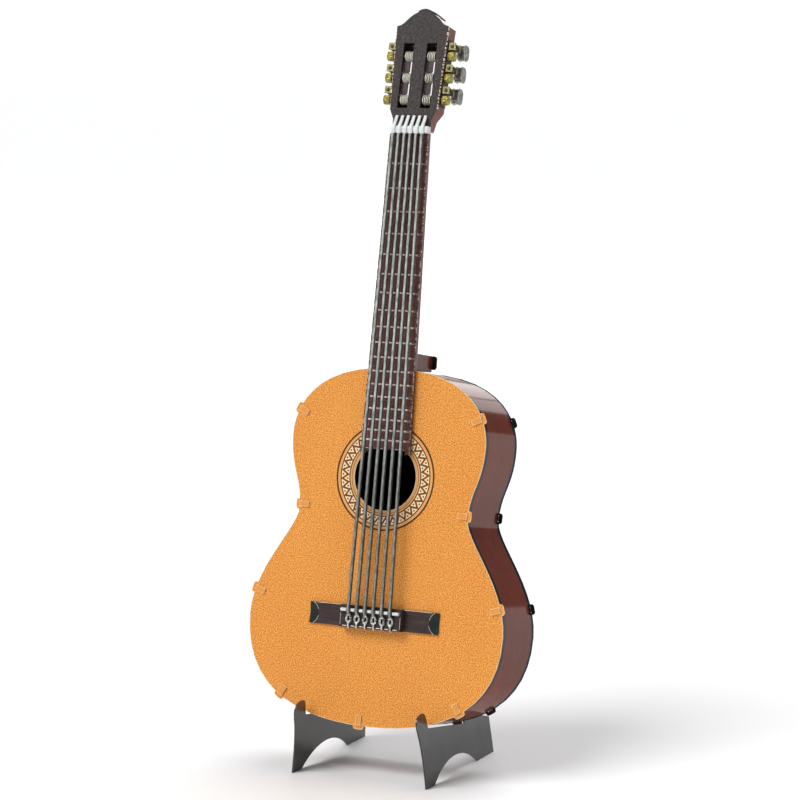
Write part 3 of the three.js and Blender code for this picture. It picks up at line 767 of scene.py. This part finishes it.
def string_fingers():
    """The strings' flattened ends, bent back from the nut into the head."""
    shapes = []
    spine = ((-2.2, 136.6), (-2.3, 137.4), (-2.2, 138.2), (-1.8, 138.9), (-1.2, 139.9), (-0.75, 140.9))
    for index in range(STRINGS):
        path = [(string_across(index, height), depth, height) for depth, height in spine]
        shapes.append(tube(path, [0.5, 0.52, 0.5, 0.42, 0.42, 0.36], [0.3, 0.32, 0.26, 0.2, 0.2, 0.16], 12))
    return joined(*shapes)


# ---- Strings ----
def string_shape(index):
    """A rod from the nut over the saddle to an eyelet, with a narrow tail over the tie block's edge."""
    spine = [(-2.62, 25.35), (-2.85, 25.65), (-3.16, 26.0), (-3.24, 26.4), (-3.22, 26.9)]
    shares = (0.02, 0.1, 0.3, 0.5, 0.7, 0.9, 1)
    saddle_depth, nut_depth, saddle_up, nut_up = -3.22, -2.15, 26.9, 136.9
    spine += [(saddle_depth + share * (nut_depth - saddle_depth), saddle_up + share * (nut_up - saddle_up))
              for share in shares]
    rod = tube([(string_across(index, height), depth, height) for depth, height in spine], 0.45, 0.36, 14)
    eyelet_up, eyelet_depth = 24.45, -2.66
    centre = Vector((string_across(index, eyelet_up), eyelet_depth, eyelet_up))
    loop = ellipse(centre, Vector((0, 0, 0.85)), Vector((0.52, 0, 0)), 20)
    eyelet = tube(loop, 0.24, 0.26, 10, side=Vector((0, 1, 0)), closed=True)
    tail_spine = ((-2.62, 23.7), (-2.66, 23.1), (-2.56, 22.55), (-2.1, 22.2), (-1.5, 22.15))
    tail = tube([(string_across(index, height), depth, height) for depth, height in tail_spine],
                [0.3, 0.24, 0.22, 0.2, 0.14], [0.22, 0.2, 0.2, 0.18, 0.12], 10)
    return joined(rod, eyelet, tail)


def strings():
    """The six strings, each one piece."""
    for index in range(STRINGS):
        name = f"string_{index + 1}"
        make(name + "_rod", string_shape(index), looks["steel"], stands_for=(name,))


# ---- Bridge ----
def bridge_plate():
    """Folded bridge: a flat top whose ends slope down inside a rounded crease."""
    columns = 110
    rows = 12
    low, high = BRIDGE["low"], BRIDGE["high"]
    rings = []
    for column in range(columns + 1):
        across = -BRIDGE["half"] + 2 * BRIDGE["half"] * column / columns
        ring = []
        for row in range(rows + 1):
            height = low + (high - low) * row / rows
            reach = math.hypot(abs(across) - BRIDGE["half"] - CREASE_OUT, height - BRIDGE_MIDDLE)
            slope = max(0.0, (CREASE_RADIUS - reach) / (CREASE_RADIUS - CREASE_OUT))
            rounded = 0.06 if row in (0, rows) else 0
            ring.append((across, -BRIDGE["rise"] + 0.42 * min(1, slope) + rounded, height))
        ring += [(across, -GAP, high), (across, -GAP, low)]
        rings.append(ring)
    return loft(rings)


def bridge_creases():
    """Bright bent lines where the bridge's ends fold, and along its upper edge."""
    radius = CREASE_RADIUS + 0.02
    wires = []
    for side in (-1, 1):
        for low, high in ((-58, -12), (16, 58)):
            path = []
            for step in range(9):
                angle = math.radians(low + (high - low) * step / 8)
                across = side * (BRIDGE["half"] + CREASE_OUT - radius * math.cos(angle))
                path.append((across, -BRIDGE["rise"] - 0.01, BRIDGE_MIDDLE + radius * math.sin(angle)))
            wires.append(tube(path, 0.06, 0.06, 8, side=Vector((0, 1, 0))))
    path = [(across, -BRIDGE["rise"] + 0.01, BRIDGE["high"] - 0.03) for across in (-14.6, -8, 0, 8, 14.6)]
    wires.append(tube(path, 0.04, 0.04, 8, side=Vector((0, 0, 1))))
    return joined(*wires)


def saddle_bar():
    """White saddle, standing up in seven lumps with the strings in between."""
    rings = []
    steps = 146
    for step in range(steps + 1):
        across = -SADDLE["half"] + 2 * SADDLE["half"] * step / steps
        nearest = min(abs(across - string_across(index, SADDLE["high"])) for index in range(STRINGS))
        top = -SADDLE["rise"] - 0.3 + 0.75 * max(0.0, 1 - (nearest / 0.62) ** 2)
        low, high = SADDLE["low"] - 0.02, SADDLE["high"] + 0.02
        rings.append([(across, -0.7, low), (across, top + 0.22, low), (across, top, low + 0.2),
                      (across, top, high - 0.2), (across, top + 0.22, high), (across, -0.7, high)])
    return loft(rings)


def tie_block_edges():
    """Bare edges and string holes on the tie block's face."""
    face = -TIE["rise"] - 0.02
    wires = []
    for side in (-1, 1):
        path = [(side * (TIE["half"] - 0.25), face, height) for height in (22.9, 24, 25.6)]
        wires.append(tube(path, 0.06, 0.06, 8))
    for index in range(STRINGS + 1):
        centre = string_across(index - 0.5, TIE["low"])
        path = [(centre - 0.5, face, 22.72), (centre, face, 22.72), (centre + 0.5, face, 22.72)]
        wires.append(tube(path, 0.07, 0.07, 8, side=Vector((0, 0, 1))))
    return joined(*wires)


# ---- Head and tuners ----
def head_edge_wear():
    """Short bright marks where the head's printed face bends to its sides."""
    draw = random.Random(7)
    marks = []
    for side in (-1, 1):
        height = 5.4
        while height < 24.6:
            length = draw.uniform(0.25, 0.8)
            across = side * (head_half(height + length / 2) + 0.01)
            depth = draw.uniform(0.28, 0.4)
            path = [(across - side * 0.01, depth, height), (across, depth, height + length / 2),
                    (across, depth, height + length)]
            marks.append(tube(path, 0.2, draw.uniform(0.25, 0.4), 6))
            height += length + draw.uniform(0.2, 0.45)
    return joined(*marks)


def slot_panels():
    """Brown sheet between the rollers just inside each slot, left open along one edge."""
    panels = []
    for side in (-1, 1):
        inner, outer = sorted(side * edge for edge in SLOT)
        for top, bottom in zip(ROLLER_HEIGHTS, ROLLER_HEIGHTS[1:]):
            panels.append(block((inner + 0.02, 1.0, bottom + 1.35), (outer - 0.78, 1.25, top - 1.35)))
    return joined(*panels)


def slot_back_shade():
    """Black sheet behind the top and bottom of each slot, standing in for the shade there: painted shade, not a
    part.
    """
    shapes = []
    for side in (-1, 1):
        inner, outer = sorted(side * edge for edge in SLOT)
        for low, high in ((ROLLER_HEIGHTS[0] - 0.9, SLOT_HIGH), (SLOT_LOW, ROLLER_HEIGHTS[2] - 0.2)):
            shapes.append(block((inner, 2.75, low), (outer, 3.0, high)))
        for height in ROLLER_HEIGHTS[1:]:
            shapes.append(block((inner, 2.75, height - 1.0), (outer - 1.5, 3.0, height + 1.0)))
    return joined(*shapes)


def grooved_roller(side, height):
    """String roller with rounded grooves, on its axle."""
    centre = Vector((0, ROLLER_DEPTH, height))
    along = Vector((side, 0, 0))
    start, end = ROLLER_START, ROLLER_START + GROOVES * GROOVE_PITCH
    stations = [(start, 0.7)]
    profile = ((0.1, 0.98), (0.2, ROLLER_RADIUS), (0.56, ROLLER_RADIUS), (0.68, 0.98), (0.84, 0.8))
    for groove in range(GROOVES):
        for share, radius in profile:
            stations.append((start + (groove + share) * GROOVE_PITCH, radius))
    stations.append((end, 0.7))
    drum = lathe(stations, centre, along, 36)
    axle = lathe([(end - 0.1, 0.4), (head_half(height) + 0.5, 0.4)], centre, along, 20)
    return joined(drum, axle)


def toothed_gear(side, height):
    """Barrel gear: rounded teeth along its length, and a plain rim at its outer end."""
    teeth = 14
    sides = teeth * 6
    start, end = head_half(height) + 0.56, head_half(height) + 2.15
    rings = []
    for share, size in ((0, 0.84), (0.06, 0.94), (0.12, 1.0), (0.78, 1.0), (0.84, 0.9), (0.88, 0.9),
                        (0.92, 0.97), (0.98, 0.97), (1, 0.86)):
        ring = []
        cut = 0.13 if 0.05 < share < 0.8 else 0.0
        for step in range(sides):
            angle = 2 * math.pi * step / sides
            wave = 0.5 + 0.5 * math.cos(teeth * angle)
            radius = ROLLER_RADIUS * size - cut * (1 - wave) ** 1.5
            ring.append((side * (start + share * (end - start)), ROLLER_DEPTH + radius * math.cos(angle),
                         height + radius * math.sin(angle)))
        rings.append(ring)
    return loft(rings)


def worm_and_shaft(side, height):
    """Dark shaft with a threaded worm at the gear and a stiffening fold towards the button."""
    centre = Vector((side * (head_half(height) + WORM_OUT), 0, height + WORM_RISE))
    back = Vector((0, 1, 0))
    shaft = lathe([(0.5, 0.24), (0.6, 0.35), (5.7, 0.35)], centre, back, 20)
    across, up = centre.x, centre.z
    fold = block((across - 0.42, 3.74, up - 0.5), (across + 0.42, BUTTON["start"] - 0.08, up + 0.5))
    steps, sides, pitch = 30, 28, 0.45
    thread_start, thread_length = 1.25, 1.35
    rings = []
    for step in range(steps + 1):
        depth = thread_start + thread_length * step / steps
        ease = min(1, step / 3, (steps - step) / 3)
        ring = []
        for turn in range(sides):
            angle = 2 * math.pi * turn / sides
            crest = 0.5 + 0.5 * math.cos(angle - 2 * math.pi * depth / pitch)
            radius = 0.42 + ease * (0.3 + 0.22 * crest)
            ring.append(centre + Vector((radius * math.cos(angle), depth, radius * math.sin(angle))))
        rings.append(ring)
    return joined(shaft, fold, loft(rings))


def button_outline(inset):
    """Eight-sided side view of a tuner button, drawn in by inset, as (depth, height)."""
    half = BUTTON["height"] / 2 - inset
    start, end = BUTTON["start"] + inset, BUTTON["start"] + BUTTON["depth"] - inset
    corner = 0.75
    return [(start, -half * 0.55), (start + 0.6, -half), (end - corner, -half), (end, corner - half),
            (end, half - corner), (end - corner, half), (start + 0.6, half), (start, half * 0.55)]


def folded_button(side, height):
    """Button of folded sheet: two cheeks with a band wrapped between them."""
    across = side * (head_half(height) + WORM_OUT)
    middle = height + WORM_RISE
    half = BUTTON["width"] / 2

    def slab(low, high, inset):
        outline = button_outline(inset)
        return loft([[(across + shift, depth, middle + at) for depth, at in outline]
                     for shift in (low, high)])

    cheeks = joined(slab(-half, 0.34 - half, 0.0), slab(half - 0.34, half, 0.0))
    band = slab(0.3 - half, half - 0.3, 0.16)
    fold = block((across - half + 0.05, BUTTON["start"] + BUTTON["depth"] - 0.3, middle - 0.75),
                 (across + half - 0.05, BUTTON["start"] + BUTTON["depth"] - 0.02, middle + 0.75))
    return joined(cheeks, band, fold)


def tuners():
    """Roller, gear, worm and button of all six tuners."""
    for name, side in (("left", -1), ("right", 1)):
        for row, height in enumerate(ROLLER_HEIGHTS):
            place = f"{name}_{row + 1}"
            rollers, buttons = f"roller_{place}", f"button_{place}"
            make(f"grooved_roller_{place}", grooved_roller(side, height), looks["cream"], HEAD, rollers,
                 stands_for=(f"string_roller_{place}",))
            make(f"barrel_gear_{place}", toothed_gear(side, height), looks["gold"], HEAD, rollers,
                 stands_for=(f"tuner_gear_{place}",), angle=50)
            make(f"worm_{place}", worm_and_shaft(side, height), looks["shaft"], HEAD, buttons,
                 stands_for=(f"worm_shaft_{place}",), angle=60)
            make(f"folded_button_{place}", folded_button(side, height), looks["button"], HEAD, buttons,
                 stands_for=(f"tuner_button_{place}",), bevel=0.09, edge=looks["button_edge"])


# ---- Assembly ----
dress_cad_pieces()
cut_edges("soundboard_cut_edge", ("soundboard",), -0.05, 0.05, 0.07, looks["cream_edge"])
cut_edges("tab_cut_edges", ("rim_left", "rim_right"), -0.5, -0.3, 0.07, looks["cream_edge"])
make("fret_bars", frets(), looks["fret"], slot="grey_steel")
make("fretboard_edges", board_edges(), looks["board_edge"], slot="grey_steel")
make("heel_sheet", heel_cap(), looks["black"], stands_for=("heel_cap",), bevel=0.06)
make("notched_nut", nut_block(), looks["white"], stands_for=("nut",))
make("string_fingers", string_fingers(), looks["white"], slot="bone_white")
strings()
make("folded_bridge", bridge_plate(), looks["dark_brown"], stands_for=("bridge_base",), angle=50)
make("bridge_creases", bridge_creases(), looks["bright"], slot="grey_steel")
make("saddle_bar", saddle_bar(), looks["white"], stands_for=("saddle",))
make("tie_block_edges", tie_block_edges(), looks["bright"], slot="grey_steel")
make("head_edge_wear", head_edge_wear(), looks["wear"], HEAD, slot="grey_steel")
make("slot_panels", slot_panels(), looks["panel"], HEAD, slot="dark_brown", bevel=0.04)
# Painted shade: black sheets behind the slots stand in for the shade inside them.
make("slot_back_shade", slot_back_shade(), looks["black"], HEAD, slot="dark_brown", bevel=0.03)
tuners()


# ---- Floor, light and camera ----
def floor():
    """A wide pale dish: flat under the object, turning up far away."""
    turns = [2 * math.pi * step / 96 for step in range(96)]
    rings = []
    profile = ((0.001, 0), (0.4, 0), (2.0, 0), (9.0, 0), (11.0, 0.05), (12.0, 0.2), (12.5, 0.5))
    for radius, height in profile:
        rings.append([(radius * math.cos(turn), radius * math.sin(turn), height) for turn in turns])
    points, faces = loft(rings)
    mesh = bpy.data.meshes.new("floor")
    mesh.from_pydata(points, [], faces[:-1])
    mesh.shade_smooth()
    material = bpy.data.materials.new("pale_floor")
    material.use_nodes = True
    shader = material.node_tree.nodes["Principled BSDF"]
    shader.inputs["Base Color"].default_value = (0.95, 0.95, 0.95, 1)
    shader.inputs["Roughness"].default_value = 0.8
    mesh.materials.append(material)
    thing = bpy.data.objects.new("floor", mesh)
    bpy.context.scene.collection.objects.link(thing)


def softbox(name, place, size, power, aim):
    """Oblong panel of light behind the object, turned towards aim; place and size in metres."""
    light = bpy.data.lights.new(name, "AREA")
    light.shape = "RECTANGLE"
    light.size, light.size_y = size
    light.energy = power
    thing = bpy.data.objects.new(name, light)
    thing.location = place
    thing.rotation_euler = (aim - Vector(place)).to_track_quat("-Z", "Y").to_euler()
    bpy.context.scene.collection.objects.link(thing)


def soft_sun(name, azimuth, elevation, spread, strength):
    """Even light from far away; azimuth 0 shines from the front, 90 from the viewer's right."""
    light = bpy.data.lights.new(name, "SUN")
    light.angle = math.radians(spread)
    light.energy = strength
    thing = bpy.data.objects.new(name, light)
    thing.rotation_euler = (math.radians(90 - elevation), 0, math.radians(azimuth))
    bpy.context.scene.collection.objects.link(thing)


def studio():
    """Two soft suns for the front and two panels that gleam in the rims and the stand."""
    world = bpy.data.worlds.new("studio")
    world.use_nodes = True
    world.node_tree.nodes["Background"].inputs["Color"].default_value = (0.98, 0.99, 1.0, 1)
    world.node_tree.nodes["Background"].inputs["Strength"].default_value = 0.2
    bpy.context.scene.world = world
    bpy.context.scene.view_settings.view_transform = "Standard"
    aim = (cad_box[0] + cad_box[1]) / 2
    soft_sun("key_light", -32, 48, 35, 2.15)
    soft_sun("top_light", 170, 66, 40, 1.35)
    softbox("back_light_left", (-0.75, 2.0, 0.62), (1.15, 0.78), 7.2, aim)
    softbox("back_light_middle", (0.05, 2.0, 0.62), (0.42, 0.78), 2.1, aim)


def camera():
    """Long lens at the right of the front, a little above the middle of the object."""
    lens = bpy.data.cameras.new("camera")
    lens.lens = 127.9
    lens.sensor_width = 36
    lens.clip_start = 0.01
    yaw, pitch = math.radians(25.429), math.radians(-7.5335)
    from_foot = Vector((280.28, -571.414, 159.72)) * MM
    thing = bpy.data.objects.new("camera", lens)
    thing.location = guitar_foot + from_foot
    thing.rotation_euler = (math.pi / 2 + pitch, 0, yaw)
    bpy.context.scene.collection.objects.link(thing)
    bpy.context.scene.camera = thing


floor()
studio()
camera()
